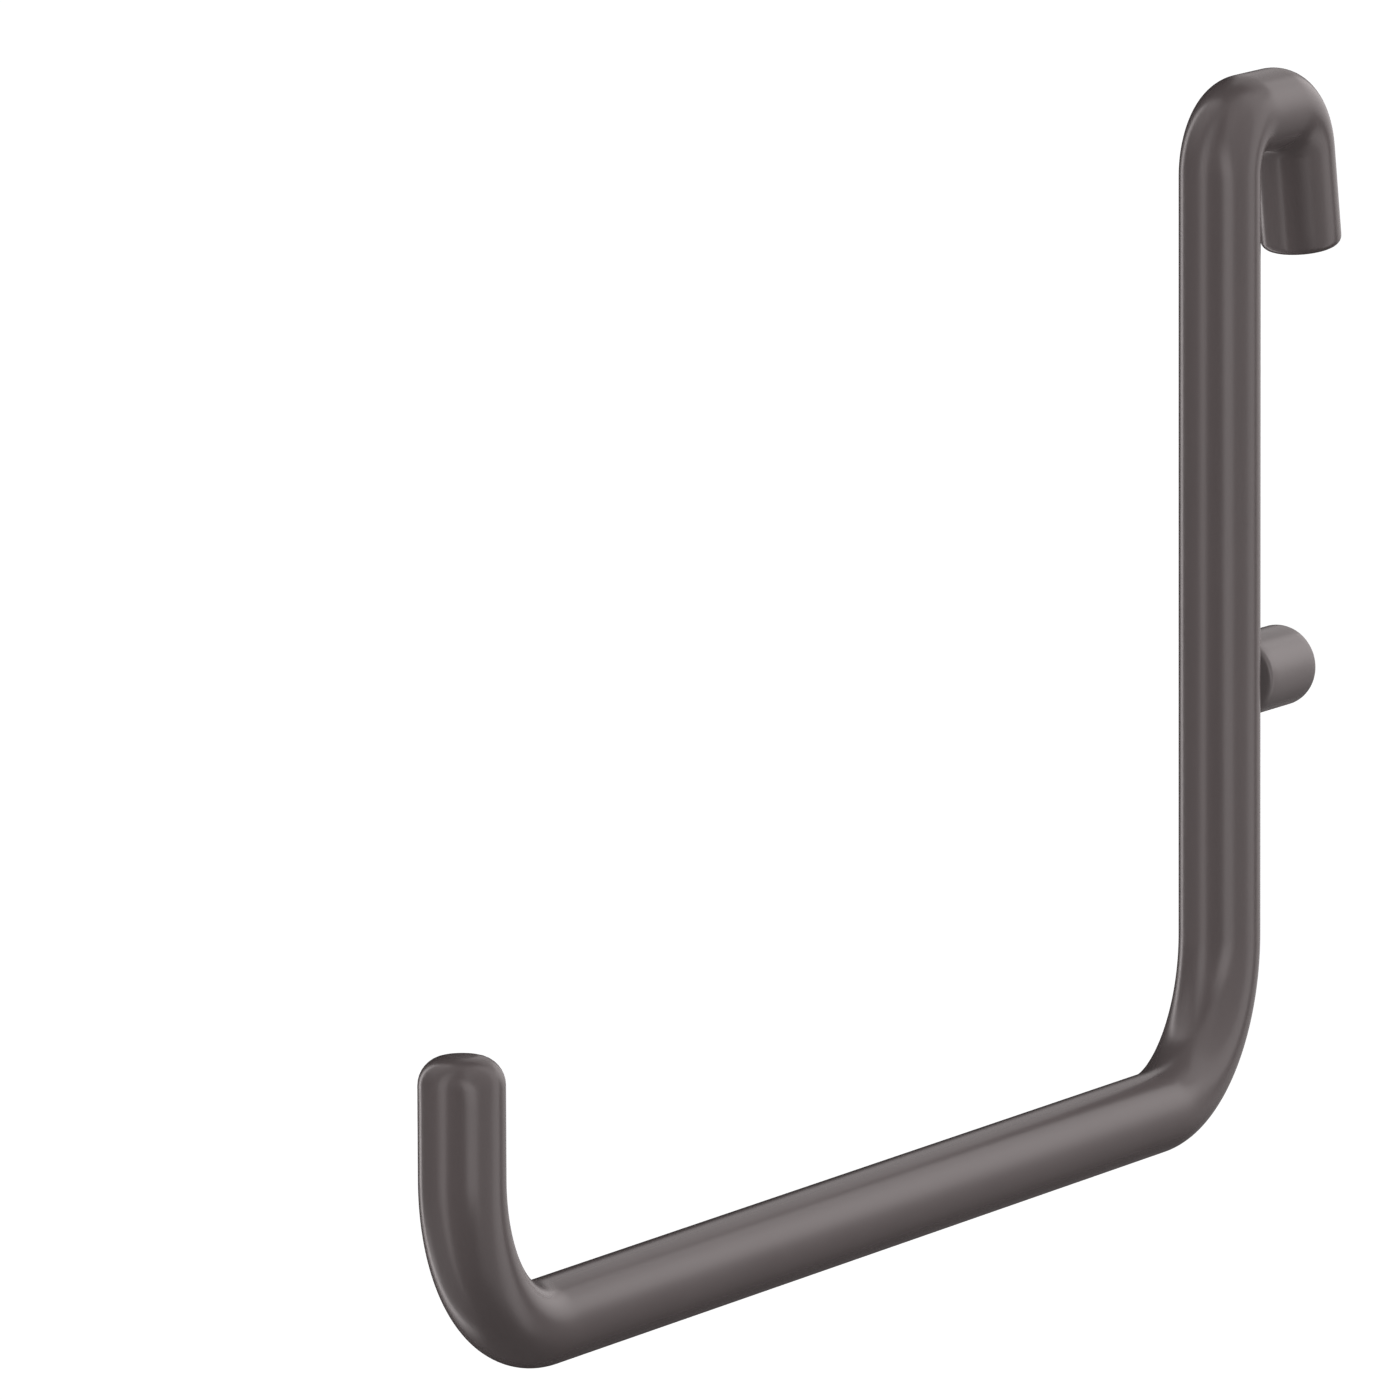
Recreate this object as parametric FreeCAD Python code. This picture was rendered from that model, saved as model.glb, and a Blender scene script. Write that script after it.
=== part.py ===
import FreeCAD, Part
import math
import os

# A pegboard hook: one round steel rod bent in one plane, and a short peg of the same rod
# resistance-welded to its back. The crown hooks over the lower edge of one slot in the board,
# and the peg goes into the slot below and keeps the hook from turning or swinging.
#
# Lengths are in millimetres and angles in degrees. The rod's centreline lies in the plane
# X = 0. The board's front face is the plane Y = 0, with +Y pointing through the board, and the
# lower edge of the upper slot, where the crown rests, is at Z = 0.

# Rod
rod_d = 5.0

# Board that the hook clips over
board_t = 5.0
board_play = 0.2

# Crown over the slot's edge, and the tail behind the board
crown_inner_r = 0.9
tail_straight = 6.2
tail_splay = 10.0
tail_end_round = 0.55

# Arm at the front, and its turned-up tip
arm_drop = 57.2
arm_reach = 100.0
arm_inner_r = 7.2
tip_straight = 7.1
tip_flat_d = 1.6

# Peg in the slot below
peg_d = 5.0
peg_drop = 32.0
peg_past_board = 1.25
peg_end_round = 0.3
weld_sink = 0.25

# Places worked out from the sizes above
rod_r = rod_d / 2
rod_y = -rod_r
crown_z = rod_r
arm_z = -arm_drop
tip_y = rod_y - arm_reach
tail_y = board_t + board_play + rod_r
crown_bend_r = crown_inner_r + rod_r
arm_bend_r = arm_inner_r + rod_r
tip_top_z = arm_z + arm_bend_r + tip_straight
tip_end_round = (rod_d - tip_flat_d) / 2


def in_plane(y, z):
    """A point of the rod's own plane."""
    return FreeCAD.Vector(0, y, z)


def unit(vector):
    """The vector's direction, with length 1."""
    return vector / vector.Length


def bend_setback(radius, turn):
    """How far before its corner a bend starts, and how far after it the bend ends."""
    return radius * math.tan(turn / 2)


def bent_centreline(corners, bend_radii):
    """A wire of straight runs through the corners, each inner corner bent to its radius.

    The middle of a bend lies radius * (1 / cos(turn / 2) - 1) inside its corner.
    """
    edges = []
    start = corners[0]
    for before, corner, after, radius in zip(corners, corners[1:], corners[2:], bend_radii):
        arriving = unit(corner - before)
        leaving = unit(after - corner)
        turn = arriving.getAngle(leaving)
        bend_start = corner - arriving * bend_setback(radius, turn)
        bend_end = corner + leaving * bend_setback(radius, turn)
        inward = unit(leaving - arriving)
        bend_middle = corner + inward * radius * (1 / math.cos(turn / 2) - 1)
        edges.append(Part.LineSegment(start, bend_start).toShape())
        edges.append(Part.Arc(bend_start, bend_middle, bend_end).toShape())
        start = bend_end
    edges.append(Part.LineSegment(start, corners[-1]).toShape())
    return Part.Wire(edges)


def end_edge(solid, point):
    """The circular edge at the end of the rod that is centred on the point."""
    return min(solid.Edges, key=lambda edge: edge.CenterOfMass.distanceToPoint(point))


def make_bent_rod():
    """The rod, from the tip's end along the arm, up and over the crown to the tail's end."""
    splay = math.radians(tail_splay)
    tail_down = in_plane(math.sin(splay), -math.cos(splay))
    tail_corner = in_plane(tail_y, crown_z)
    tail_length = bend_setback(crown_bend_r, math.pi / 2 - splay) + tail_straight
    tail_end = tail_corner + tail_down * tail_length
    tip_end = in_plane(tip_y, tip_top_z)
    corners = [
        tip_end,
        in_plane(tip_y, arm_z),
        in_plane(rod_y, arm_z),
        in_plane(rod_y, crown_z),
        tail_corner,
        tail_end,
    ]
    bend_radii = [arm_bend_r, arm_bend_r, crown_bend_r, crown_bend_r]
    centreline = bent_centreline(corners, bend_radii)
    section = Part.Wire(Part.makeCircle(rod_r, tip_end, FreeCAD.Vector(0, 0, -1)))
    rod = centreline.makePipeShell([section], True, False)
    rod = rod.makeFillet(tip_end_round, [end_edge(rod, tip_end)])
    return rod.makeFillet(tail_end_round, [end_edge(rod, tail_end)])


def make_board_peg(rod):
    """The peg, rounded at both ends and welded a little way into the back of the rod."""
    front = FreeCAD.Vector(0, -weld_sink, -peg_drop)
    into_board = FreeCAD.Vector(0, 1, 0)
    peg_length = weld_sink + board_t + peg_past_board
    peg = Part.makeCylinder(peg_d / 2, peg_length, front, into_board)
    rims = [edge for edge in peg.Edges if isinstance(edge.Curve, Part.Circle)]
    peg = peg.makeFillet(peg_end_round, rims)
    return peg.cut(rod).Solids[0]


bent_rod = make_bent_rod()
board_peg = make_board_peg(bent_rod)

os.makedirs("parts", exist_ok=True)
for name, shape in (("bent_rod", bent_rod), ("board_peg", board_peg)):
    shape.exportStep("parts/" + name + ".step")
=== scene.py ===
import math

import bpy
import numpy as np
from mathutils import Matrix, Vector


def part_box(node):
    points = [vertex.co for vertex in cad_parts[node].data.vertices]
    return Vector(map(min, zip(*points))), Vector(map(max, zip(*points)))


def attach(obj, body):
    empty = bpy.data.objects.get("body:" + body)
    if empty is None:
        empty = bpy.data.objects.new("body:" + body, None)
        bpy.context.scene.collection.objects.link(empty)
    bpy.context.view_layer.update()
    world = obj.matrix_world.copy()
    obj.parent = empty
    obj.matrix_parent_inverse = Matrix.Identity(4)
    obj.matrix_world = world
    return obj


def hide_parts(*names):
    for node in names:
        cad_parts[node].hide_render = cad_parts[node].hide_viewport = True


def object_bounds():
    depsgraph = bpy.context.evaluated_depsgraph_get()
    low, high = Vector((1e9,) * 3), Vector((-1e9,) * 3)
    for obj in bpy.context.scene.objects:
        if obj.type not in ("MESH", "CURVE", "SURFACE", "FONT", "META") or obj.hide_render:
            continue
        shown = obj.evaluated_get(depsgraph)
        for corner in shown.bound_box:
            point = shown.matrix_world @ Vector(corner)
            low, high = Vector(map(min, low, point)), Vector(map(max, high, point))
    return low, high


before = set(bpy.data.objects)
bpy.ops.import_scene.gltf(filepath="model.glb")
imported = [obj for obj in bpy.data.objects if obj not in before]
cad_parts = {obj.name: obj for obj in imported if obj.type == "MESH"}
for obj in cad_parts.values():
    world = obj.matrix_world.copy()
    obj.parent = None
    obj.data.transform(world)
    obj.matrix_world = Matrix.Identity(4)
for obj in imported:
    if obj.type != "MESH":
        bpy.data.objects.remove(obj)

cad_low, cad_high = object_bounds()

# Bent rod
# One length of round steel rod, cut, tumbled round at its ends and bent cold in one plane. It
# runs from the turned-up tip along the arm, up the back and over the crown to the short tail
# that goes behind the board.

MM = 0.001
AROUND = 128
BEND_STEP = math.radians(2.0)
RUN_STEP = 1.0 * MM
ROUND_ROWS = 10

rod_low, rod_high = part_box("bent_rod")
rod_r = (rod_high.x - rod_low.x) / 2
arm_z = rod_low.z + rod_r
tip_y = rod_low.y + rod_r
rod_y = -rod_r
crown_z = rod_high.z - rod_r
arm_bend_r = 7.2 * MM + rod_r
crown_bend_r = 0.9 * MM + rod_r
board_gap = 5.2 * MM
tip_straight = 7.1 * MM
tail_straight = 6.2 * MM
tail_turn = math.radians(80.0)
tip_flat_r = 0.8 * MM
tip_round = rod_r - tip_flat_r
tail_round = 0.55 * MM


def bend_run(radius, turn):
    """A bend's length down its middle, radius * turn, and its turn, positive to the left."""
    return radius * abs(turn), turn


def rod_middle(legs, start, heading):
    """The rod's middle line in its own plane, leg by leg as the bending machine feeds it.

    A straight leg goes on at its heading. On a bend the heading grows evenly with the length, so
    the point moves by radius * (sin(new) - sin(old), cos(old) - cos(new)). Returns the points
    (y, z) and the heading at each of them.
    """
    points = [np.array([start])]
    headings = [np.array([heading])]
    for length, turn in legs:
        rows = int(np.ceil(max(length / RUN_STEP, abs(turn) / BEND_STEP)))
        part = np.linspace(0.0, 1.0, rows + 1)[1:]
        angle = heading + turn * part
        if turn:
            radius = length / turn
            step_y = radius * (np.sin(angle) - math.sin(heading))
            step_z = radius * (math.cos(heading) - np.cos(angle))
        else:
            step_y = length * part * math.cos(heading)
            step_z = length * part * math.sin(heading)
        points.append(points[-1][-1] + np.stack([step_y, step_z], axis=1))
        headings.append(angle)
        heading = heading + turn
    return np.concatenate(points), np.concatenate(headings)


def rounded_end(end_round, full_radius):
    """Radius and depth of the rows over a rounded end, from the rim of its flat to the full rod.

    The rim is a quarter circle: depth = round * (1 - cos(a)), radius = flat + round * sin(a).
    """
    angle = np.linspace(0.0, math.pi / 2, ROUND_ROWS)
    depth = end_round * (1.0 - np.cos(angle))
    radius = full_radius - end_round + end_round * np.sin(angle)
    return radius, depth


def ring_angles():
    """The angle t of each point on a ring: AROUND even steps of one full turn."""
    return np.linspace(0.0, 2 * math.pi, AROUND, endpoint=False)


def rod_rows(middle, headings, radii):
    """Rings across the rod: middle + radius * (cos(t) across the plane + sin(t) in the plane)."""
    angle = ring_angles()
    across = np.cos(angle)[None, :, None] * np.array([1.0, 0.0, 0.0])
    side = np.stack([np.zeros_like(headings), -np.sin(headings), np.cos(headings)], axis=1)
    in_plane = np.sin(angle)[None, :, None] * side[:, None, :]
    centre = np.column_stack([np.zeros(len(middle)), middle])
    return centre[:, None, :] + radii[:, None, None] * (across + in_plane)


def closed_skin(name, rows, first_pole, last_pole):
    """A mesh through a grid of rings, each ring closed on itself, with a pole at both ends.

    Point i of ring k is number k * AROUND + i. Neighbouring rings are joined by squares, and each
    pole is joined to its ring by a fan of triangles.
    """
    count, around = rows.shape[:2]
    vertices = np.concatenate([rows.reshape(-1, 3), [first_pole, last_pole]])
    ring = np.arange(around)
    following = (ring + 1) % around
    start = around * np.arange(count - 1)[:, None]
    squares = np.stack([start + ring, start + around + ring,
                        start + around + following, start + following], axis=-1)
    first = np.stack([np.full(around, count * around), ring, following], axis=-1)
    last_start = around * (count - 1)
    last = np.stack([np.full(around, count * around + 1), last_start + following,
                     last_start + ring], axis=-1)
    faces = squares.reshape(-1, 4).tolist() + first.tolist() + last.tolist()
    mesh = bpy.data.meshes.new(name)
    mesh.from_pydata(vertices.tolist(), [], faces)
    mesh.shade_smooth()
    piece = bpy.data.objects.new(name, mesh)
    bpy.context.scene.collection.objects.link(piece)
    return piece


arm_run = rod_y - tip_y - 2 * arm_bend_r
back_run = crown_z - arm_z - arm_bend_r - crown_bend_r
tail_corner = rod_r + board_gap + rod_r
crown_run = tail_corner - crown_bend_r - crown_bend_r * math.tan(tail_turn / 2)
quarter = math.pi / 2
legs = [
    (tip_straight - tip_round, 0.0),
    bend_run(arm_bend_r, quarter),
    (arm_run, 0.0),
    bend_run(arm_bend_r, quarter),
    (back_run, 0.0),
    bend_run(crown_bend_r, -quarter),
    (crown_run, 0.0),
    bend_run(crown_bend_r, -tail_turn),
    (tail_straight - tail_round, 0.0),
]
tip_top = (tip_y, arm_z + arm_bend_r + tip_straight)
run_start = (tip_y, tip_top[1] - tip_round)
middle, headings = rod_middle(legs, run_start, -quarter)

tip_radius, tip_depth = rounded_end(tip_round, rod_r)
tip_middle = np.column_stack([np.full(ROUND_ROWS, tip_top[0]), tip_top[1] - tip_depth])
tail_radius, tail_depth = rounded_end(tail_round, rod_r)
tail_way = np.array([math.cos(headings[-1]), math.sin(headings[-1])])
tail_tip = middle[-1] + tail_way * tail_round
tail_middle = tail_tip - tail_depth[::-1, None] * tail_way

middle = np.concatenate([tip_middle[:-1], middle, tail_middle[1:]])
headings = np.concatenate([np.full(ROUND_ROWS - 1, -quarter), headings,
                           np.full(ROUND_ROWS - 1, headings[-1])])
radii = np.concatenate([tip_radius[:-1], np.full(len(middle) - 2 * (ROUND_ROWS - 1), rod_r),
                        tail_radius[::-1][1:]])
rod = closed_skin("rod_with_arm_and_crown", rod_rows(middle, headings, radii),
                  (0.0, *tip_top), (0.0, *tail_tip))

COAT_IOR = 1.45
COAT_SMOOTHEST = 0.23
COAT_ROUGHEST = 0.255
CLOUD_SCALE = 180.0
CLOUD_DETAIL = 3.0
PEEL_SCALE = 1400.0
PEEL_DETAIL = 1.0
PEEL_STRENGTH = 0.5
PEEL_HEIGHT = 0.004 * MM
rod_darker = (0.089, 0.074, 0.074)
rod_lighter = (0.097, 0.081, 0.081)


def baked_coat(name, darker, lighter):
    """A baked coat: dark brown-grey, satin, with a faint orange peel.

    One cloud of noise, in patches of a few millimetres, moves the colour from darker to lighter
    and the roughness from smoothest to roughest. A finer one, in bumps of under a millimetre,
    lifts the surface by a few thousandths of a millimetre.
    """
    material = bpy.data.materials.new(name)
    material.use_nodes = True
    nodes = material.node_tree.nodes
    links = material.node_tree.links
    shader = nodes["Principled BSDF"]
    shader.inputs["IOR"].default_value = COAT_IOR
    place = nodes.new("ShaderNodeTexCoord")

    cloud = nodes.new("ShaderNodeTexNoise")
    cloud.inputs["Scale"].default_value = CLOUD_SCALE
    cloud.inputs["Detail"].default_value = CLOUD_DETAIL
    links.new(place.outputs["Object"], cloud.inputs["Vector"])
    tint = nodes.new("ShaderNodeMix")
    tint.data_type = "RGBA"
    tint.inputs["A"].default_value = (*darker, 1.0)
    tint.inputs["B"].default_value = (*lighter, 1.0)
    links.new(cloud.outputs["Fac"], tint.inputs["Factor"])
    links.new(tint.outputs["Result"], shader.inputs["Base Color"])

    sheen = nodes.new("ShaderNodeMapRange")
    sheen.inputs["To Min"].default_value = COAT_SMOOTHEST
    sheen.inputs["To Max"].default_value = COAT_ROUGHEST
    links.new(cloud.outputs["Fac"], sheen.inputs["Value"])
    links.new(sheen.outputs["Result"], shader.inputs["Roughness"])

    peel = nodes.new("ShaderNodeTexNoise")
    peel.inputs["Scale"].default_value = PEEL_SCALE
    peel.inputs["Detail"].default_value = PEEL_DETAIL
    links.new(place.outputs["Object"], peel.inputs["Vector"])
    lift = nodes.new("ShaderNodeBump")
    lift.inputs["Strength"].default_value = PEEL_STRENGTH
    lift.inputs["Distance"].default_value = PEEL_HEIGHT
    links.new(peel.outputs["Fac"], lift.inputs["Height"])
    links.new(lift.outputs["Normal"], shader.inputs["Normal"])
    return material


rod.data.materials.append(baked_coat("dark_brown_grey_coat", rod_darker, rod_lighter))
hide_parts("bent_rod")
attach(rod, "root")

# Board peg
# A short cut length of the same rod with its ends tumbled round. It is resistance-welded a
# little way into the back of the upright run before the hook is coated. Its coat looks a shade
# lighter than the rod's.

peg_low, peg_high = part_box("board_peg")
peg_r = (peg_high.x - peg_low.x) / 2
peg_z = (peg_high.z + peg_low.z) / 2
peg_front = peg_low.y
peg_back = peg_high.y
peg_round = 0.3 * MM
peg_darker = (0.135, 0.118, 0.118)
peg_lighter = (0.146, 0.128, 0.128)


def peg_rows():
    """Rings around the peg, from a small one on its front face to one on its back face.

    Each ring is x = radius * cos(t), z = radius * sin(t) about the peg's own axis. The front is
    coped to the rod: a point there lies on the rod's back, y = sqrt(R * R - x * x) - R, wherever
    that is further back than the peg's own flat face.
    """
    edge_radius, edge_depth = rounded_end(peg_round, peg_r)
    face_radius = np.linspace(0.0, peg_r - peg_round, ROUND_ROWS)[1:-1]
    length = peg_back - peg_front - 2 * peg_round
    body_depth = peg_round + np.linspace(0.0, length, ROUND_ROWS)[1:-1]
    front_radius = np.concatenate([face_radius, edge_radius])
    front_depth = np.concatenate([np.zeros_like(face_radius), edge_depth])
    radius = np.concatenate([front_radius, np.full(len(body_depth), peg_r), front_radius[::-1]])
    y = np.concatenate([peg_front + front_depth, peg_front + body_depth,
                        peg_back - front_depth[::-1]])
    angle = ring_angles()
    x = radius[:, None] * np.cos(angle)
    z = peg_z + radius[:, None] * np.sin(angle)
    rod_back = np.sqrt(rod_r ** 2 - np.minimum(x ** 2, rod_r ** 2)) - rod_r
    return np.stack([x, np.maximum(y[:, None], rod_back), z], axis=-1)


peg = closed_skin("peg_for_the_slot_below", peg_rows(),
                  (0.0, 0.0, peg_z), (0.0, peg_back, peg_z))
peg.data.materials.append(baked_coat("lighter_brown_grey_coat", peg_darker, peg_lighter))
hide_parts("board_peg")
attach(peg, "root")

# Floor
# A plain pale studio floor. The hook is held in the air well above it, as a board would hold it.
# The floor is matt grey, so that little light comes back up from it, and its own glow shows it
# as white.

FLOOR_SIDE = 60.0
FLOOR_DROP = 1.5
FLOOR_GREY = (0.45, 0.45, 0.45, 1.0)
FLOOR_ROUGHNESS = 0.9
WHITE = (1.0, 1.0, 1.0, 1.0)
NEAR_GLOW = 0.8
FAR_GLOW = 1.0
GLOW_REACH = 6.0

floor_z = cad_low.z - FLOOR_DROP
half = FLOOR_SIDE / 2
floor_mesh = bpy.data.meshes.new("floor")
floor_mesh.from_pydata([(-half, -half, floor_z), (half, -half, floor_z),
                        (half, half, floor_z), (-half, half, floor_z)], [], [(0, 1, 2, 3)])
floor = bpy.data.objects.new("floor", floor_mesh)
bpy.context.scene.collection.objects.link(floor)


def seen_directly(nodes, links):
    """A socket that is 1 for what the camera sees, straight, mirrored or through glass.

    It is the greatest of the ray marks camera, glossy and transmission, and so it is 0 for the
    light that falls on things.
    """
    path = nodes.new("ShaderNodeLightPath")
    mirrored = nodes.new("ShaderNodeMath")
    mirrored.operation = "MAXIMUM"
    links.new(path.outputs["Is Camera Ray"], mirrored.inputs[0])
    links.new(path.outputs["Is Glossy Ray"], mirrored.inputs[1])
    through = nodes.new("ShaderNodeMath")
    through.operation = "MAXIMUM"
    links.new(mirrored.outputs[0], through.inputs[0])
    links.new(path.outputs["Is Transmission Ray"], through.inputs[1])
    return through.outputs[0]


def floor_paint():
    """Matt grey paint with a white glow of its own, which lights nothing else.

    The glow grows evenly with the distance from the hook, from NEAR_GLOW straight below it to
    FAR_GLOW at GLOW_REACH and beyond, because less of the lamps' light arrives there.
    """
    material = bpy.data.materials.new("floor_white")
    material.use_nodes = True
    nodes = material.node_tree.nodes
    links = material.node_tree.links
    shader = nodes["Principled BSDF"]
    shader.inputs["Base Color"].default_value = FLOOR_GREY
    shader.inputs["Roughness"].default_value = FLOOR_ROUGHNESS
    shader.inputs["Specular IOR Level"].default_value = 0.0
    shader.inputs["Emission Color"].default_value = WHITE
    place = nodes.new("ShaderNodeTexCoord")
    away = nodes.new("ShaderNodeVectorMath")
    away.operation = "LENGTH"
    links.new(place.outputs["Object"], away.inputs[0])
    glow = nodes.new("ShaderNodeMapRange")
    glow.inputs["From Min"].default_value = FLOOR_DROP
    glow.inputs["From Max"].default_value = GLOW_REACH
    glow.inputs["To Min"].default_value = NEAR_GLOW
    glow.inputs["To Max"].default_value = FAR_GLOW
    links.new(away.outputs["Value"], glow.inputs["Value"])
    shown = nodes.new("ShaderNodeMath")
    shown.operation = "MULTIPLY"
    links.new(glow.outputs["Result"], shown.inputs[0])
    links.new(seen_directly(nodes, links), shown.inputs[1])
    links.new(shown.outputs[0], shader.inputs["Emission Strength"])
    return material


floor.data.materials.append(floor_paint())

# Studio light
# Soft lamps round the hook in a dim studio. Azimuth and elevation are as seen from the hook, in
# degrees: azimuth 0 is straight in front of the arm and grows towards +X. Brightness 1 is white.

LAMP_AWAY = 1.2
aim = (cad_low + cad_high) / 2


def seen_from_hook(azimuth, elevation, away):
    """The point at that azimuth a and elevation e, and that far away from the hook's middle.

    It is aim + away * (sin(a) * cos(e), -cos(a) * cos(e), sin(e)).
    """
    turn = np.radians(azimuth)
    rise = np.radians(elevation)
    return np.stack([aim.x + away * np.sin(turn) * np.cos(rise),
                     aim.y - away * np.cos(turn) * np.cos(rise),
                     aim.z + away * np.sin(rise)], axis=-1)


def lamp(name, azimuth, width, low, high, brightness):
    """A rectangular soft lamp aimed at the hook, which lights it but isn't itself mirrored.

    The lamp is width across and reaches from the elevation low to the elevation high. Brightness
    is that of its face, so its power is brightness * pi * area.
    """
    halfway = (low + high) / 2
    data = bpy.data.lights.new(name, "AREA")
    data.shape = "RECTANGLE"
    data.size = 2 * LAMP_AWAY * math.tan(math.radians(width / 2))
    data.size_y = 2 * LAMP_AWAY * math.tan(math.radians((high - low) / 2))
    data.energy = brightness * math.pi * data.size * data.size_y
    holder = bpy.data.objects.new(name, data)
    holder.location = seen_from_hook(azimuth, halfway, LAMP_AWAY)
    holder.rotation_euler = (math.radians(90.0 - halfway), 0.0, math.radians(azimuth))
    holder.visible_camera = False
    holder.visible_glossy = False
    bpy.context.scene.collection.objects.link(holder)


lamp("front_right_lamp", azimuth=49.0, width=28.0, low=-20.0, high=50.0, brightness=2.9)
lamp("front_left_lamp", azimuth=336.0, width=24.0, low=-10.0, high=60.0, brightness=3.3)
lamp("back_right_lamp", azimuth=126.0, width=29.0, low=-30.0, high=70.0, brightness=2.9)
lamp("high_back_lamp", azimuth=166.0, width=30.0, low=0.0, high=40.0, brightness=1.2)
lamp("back_left_lamp", azimuth=252.0, width=14.0, low=-50.0, high=50.0, brightness=0.4)
lamp("low_left_lamp", azimuth=300.0, width=60.0, low=-60.0, high=-20.0, brightness=1.8)
lamp("back_lamp", azimuth=212.0, width=50.0, low=-60.0, high=0.0, brightness=2.2)

# Mirrored studio
# What the satin coat mirrors: a ball round the hook that shows only in reflections. Each lamp's
# face is a soft band along the rod, the gaps between them are dark bands, and the black flag
# behind the hook is a dark line along its left edges. The back lamp has no face here.

BALL_AWAY = 1.4
BALL_STEP = 2.0
EDGE_FADE = 3.0
DARK_BELOW = 0.02
GREY_ABOVE = 0.47
LAMP_TINT = (1.0, 0.94, 0.94, 1.0)
BLACK = (0.0, 0.0, 0.0, 1.0)

# Each face has its brightness, the azimuth of its middle line at elevation 0, the lean of that
# line, its width, and the elevations where it begins, is full, is full no more and ends. A later
# face covers an earlier one.
faces_mirrored = {
    "ceiling on the right": (0.91, 80.0, 0.0, 110.0, 27.0, 55.0, 74.0, 89.0),
    "wall on the right": (0.66, 87.0, 0.08, 49.0, -59.0, -37.0, 30.0, 70.0),
    "high left panel": (1.0, 275.5, 0.04, 48.0, 10.0, 49.0, 68.0, 84.0),
    "brighter end of the high left panel": (1.54, 258.5, 0.02, 26.0, 44.0, 56.0, 65.0, 79.0),
    "dark gap high in front": (0.0, 14.5, 0.07, 36.0, 26.0, 39.0, 69.0, 90.0),
    "front right lamp": (2.53, 48.5, -0.43, 28.0, -27.0, -3.0, 8.0, 48.0),
    "front left lamp": (1.72, 336.0, 0.03, 22.5, -90.0, -27.0, 9.0, 85.0),
    "back right lamp": (1.29, 128.0, 0.19, 29.5, -49.0, -30.0, 55.0, 83.0),
    "wall behind": (0.63, 190.5, -0.09, 37.5, 6.0, 10.0, 51.0, 77.0),
    "dark ceiling behind": (0.0, 189.5, -0.02, 60.0, 48.0, 57.0, 72.0, 87.0),
    "small high panel behind": (1.08, 154.5, -0.02, 17.5, 27.0, 37.0, 39.0, 51.0),
    "high back lamp": (1.53, 172.5, -0.41, 41.5, -31.0, 20.0, 20.0, 34.0),
    "low panel behind on the left": (0.54, 243.5, -0.15, 27.5, -83.0, -64.0, -39.0, -20.0),
    "low left lamp": (0.27, 298.5, 0.07, 69.0, -90.0, -54.0, -36.0, 15.0),
    "low strip on the left": (1.02, 265.0, -0.05, 17.0, -41.0, -32.0, -27.0, -18.0),
    "dimmer side of the back left lamp": (1.4, 244.0, 0.0, 13.5, -12.0, -8.0, 30.0, 45.0),
    "back left lamp": (3.17, 251.5, -0.03, 9.0, -76.0, -42.0, 24.0, 67.0),
    "black flag": (0.0, 224.0, 0.11, 36.5, -51.0, -40.0, 82.0, 90.0),
}


def soft_step(value, start, end):
    """0 up to start and 1 from end on, with 3 t t - 2 t t t between them."""
    part = np.clip((value - start) / (end - start), 0.0, 1.0)
    return part * part * (3.0 - 2.0 * part)


def on_face(azimuth, elevation, centre, lean, width, low, full_low, full_high, high):
    """1 on a face and 0 off it: a soft step across, one at the bottom and one at the top.

    The face's middle line lies at the azimuth centre + lean * elevation, and its sides fade
    within EDGE_FADE of half its width from there. The three steps are multiplied.
    """
    off = np.abs((azimuth - centre - lean * elevation + 180.0) % 360.0 - 180.0)
    across = 1.0 - soft_step(off, width / 2 - EDGE_FADE, width / 2 + EDGE_FADE)
    begun = soft_step(elevation, low, full_low)
    ended = soft_step(elevation, full_high, high)
    return across * begun * (1.0 - ended)


def mirrored_studio():
    """The ball, its points on a grid of azimuth and elevation, with the brightness of each.

    The studio is nearly black below the hook and grey above it, DARK_BELOW + GREY_ABOVE * the
    sine of the elevation, and each face is blended over that by how far a point lies on it.
    """
    azimuth, elevation = np.meshgrid(np.arange(0.0, 360.0, BALL_STEP),
                                     np.arange(-90.0, 90.0 + BALL_STEP, BALL_STEP))
    rows = seen_from_hook(azimuth, elevation, BALL_AWAY)
    brightness = DARK_BELOW + GREY_ABOVE * np.clip(np.sin(np.radians(elevation)), 0.0, 1.0)
    for face_brightness, *place in faces_mirrored.values():
        brightness += (face_brightness - brightness) * on_face(azimuth, elevation, *place)
    count, around = azimuth.shape
    ring = np.arange(around)
    start = around * np.arange(count - 1)[:, None]
    following = (ring + 1) % around
    squares = np.stack([start + ring, start + following,
                        start + around + following, start + around + ring], axis=-1)
    mesh = bpy.data.meshes.new("mirrored_studio")
    mesh.from_pydata(rows.reshape(-1, 3).tolist(), [], squares.reshape(-1, 4).tolist())
    painted = mesh.attributes.new("brightness", "FLOAT", "POINT")
    painted.data.foreach_set("value", brightness.ravel())
    ball = bpy.data.objects.new("mirrored_studio", mesh)
    bpy.context.scene.collection.objects.link(ball)
    ball.visible_camera = False
    ball.visible_diffuse = False
    ball.visible_shadow = False
    ball.visible_transmission = False
    return ball


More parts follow.
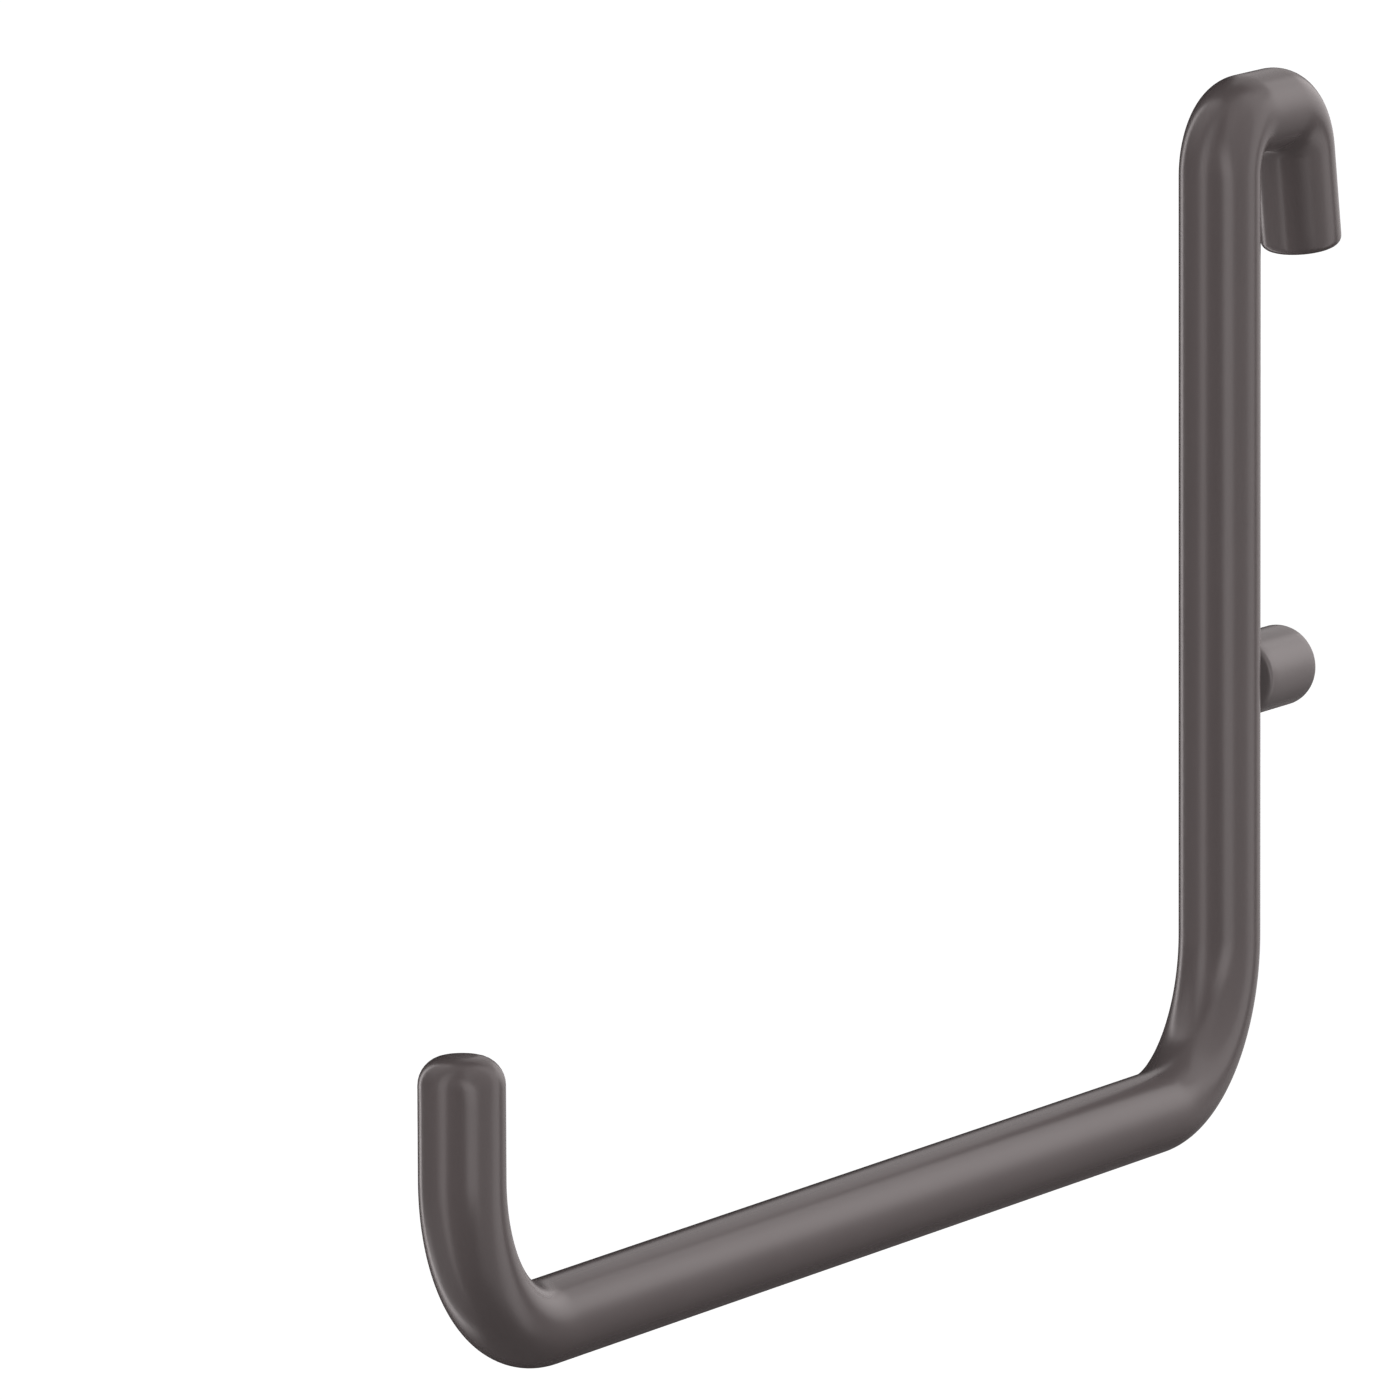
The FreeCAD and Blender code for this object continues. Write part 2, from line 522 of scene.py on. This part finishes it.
def lamp_faces():
    """A black surface that glows with the brightness that its mesh carries."""
    material = bpy.data.materials.new("lamp_faces")
    material.use_nodes = True
    nodes = material.node_tree.nodes
    shader = nodes["Principled BSDF"]
    shader.inputs["Base Color"].default_value = BLACK
    shader.inputs["Specular IOR Level"].default_value = 0.0
    shader.inputs["Emission Color"].default_value = LAMP_TINT
    carried = nodes.new("ShaderNodeAttribute")
    carried.attribute_name = "brightness"
    material.node_tree.links.new(carried.outputs["Fac"], shader.inputs["Emission Strength"])
    return material


studio = mirrored_studio()
studio.data.materials.append(lamp_faces())

# White room
# The walls far behind everything. They show as white, and as light on the hook they give a
# tenth of that.

ROOM_LIGHT = 0.1
ROOM_SEEN = 1.0

world = bpy.data.worlds.new("white_room")
bpy.context.scene.world = world
world.use_nodes = True
room = world.node_tree.nodes
wires = world.node_tree.links
room["Background"].inputs["Color"].default_value = WHITE
level = room.new("ShaderNodeMapRange")
level.inputs["To Min"].default_value = ROOM_LIGHT
level.inputs["To Max"].default_value = ROOM_SEEN
wires.new(seen_directly(room, wires), level.inputs["Value"])
wires.new(level.outputs["Result"], room["Background"].inputs["Strength"])

# Camera
# A little above the hook and to the right of its arm, well back with a long lens, so that the
# upright run stays upright. The angles are in degrees.

SENSOR_WIDTH = 36.0
LENS = 469.7
SEES_TO = 100.0
CAMERA_PLACE = (471.0 * MM, -1001.6 * MM, 124.7 * MM)
TURNED_LEFT = 26.886
TILTED_DOWN = 8.127
ROLLED = -0.212

camera_data = bpy.data.cameras.new("camera")
camera_data.sensor_width = SENSOR_WIDTH
camera_data.lens = LENS
camera_data.clip_end = SEES_TO
camera = bpy.data.objects.new("camera", camera_data)
camera.location = CAMERA_PLACE
turn = Matrix.Rotation(math.radians(TURNED_LEFT), 3, "Z")
tilt = Matrix.Rotation(math.radians(90.0 - TILTED_DOWN), 3, "X")
roll = Matrix.Rotation(math.radians(ROLLED), 3, "Z")
camera.rotation_euler = (turn @ tilt @ roll).to_euler()
bpy.context.scene.collection.objects.link(camera)
bpy.context.scene.camera = camera
bpy.context.scene.view_settings.view_transform = "Standard"
